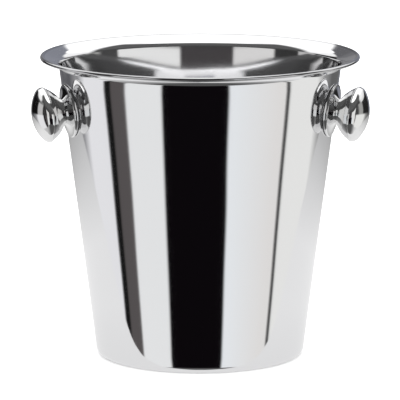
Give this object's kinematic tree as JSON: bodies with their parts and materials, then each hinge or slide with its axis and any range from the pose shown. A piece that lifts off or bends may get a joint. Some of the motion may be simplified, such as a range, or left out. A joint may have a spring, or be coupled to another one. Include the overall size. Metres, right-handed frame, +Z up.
{
  "type": "ice bucket",
  "caption": "Polished steel wine and ice bucket: conical wall, flared lip with rolled rim, knob handles clamped by screws from inside.",
  "frame": {"origin": "centre of the ring that the bucket stands on, at table height", "axes": "+Z up along the bucket's axis; X runs across the two knobs, right-hand knob on +X; the front is -Y, and both knobs stand a little in front of the X axis"},
  "size_m": [0.2208, 0.21, 0.1994],
  "materials": {
    "bucket_steel": "mirror-polished stainless steel sheet",
    "polished_steel": "mirror-polished pressed stainless steel",
    "plain_steel": "plain turned and stamped stainless steel",
    "brass": "turned brass, unplated",
    "rubber": "black food-safe rubber sheet"
  },
  "bodies": {
    "root": {"bucket_shell": "bucket_steel", "left_knob_cap": "polished_steel", "left_knob_back": "polished_steel", "left_knob_insert": "brass", "left_rosette": "polished_steel", "left_rosette_gasket": "rubber", "left_seal_washer": "rubber", "left_saddle_washer": "plain_steel", "left_spring_washer": "plain_steel", "left_screw": "plain_steel", "right_knob_cap": "polished_steel", "right_knob_back": "polished_steel", "right_knob_insert": "brass", "right_rosette": "polished_steel", "right_rosette_gasket": "rubber", "right_seal_washer": "rubber", "right_saddle_washer": "plain_steel", "right_spring_washer": "plain_steel", "right_screw": "plain_steel"}
  },
  "joints": []
}
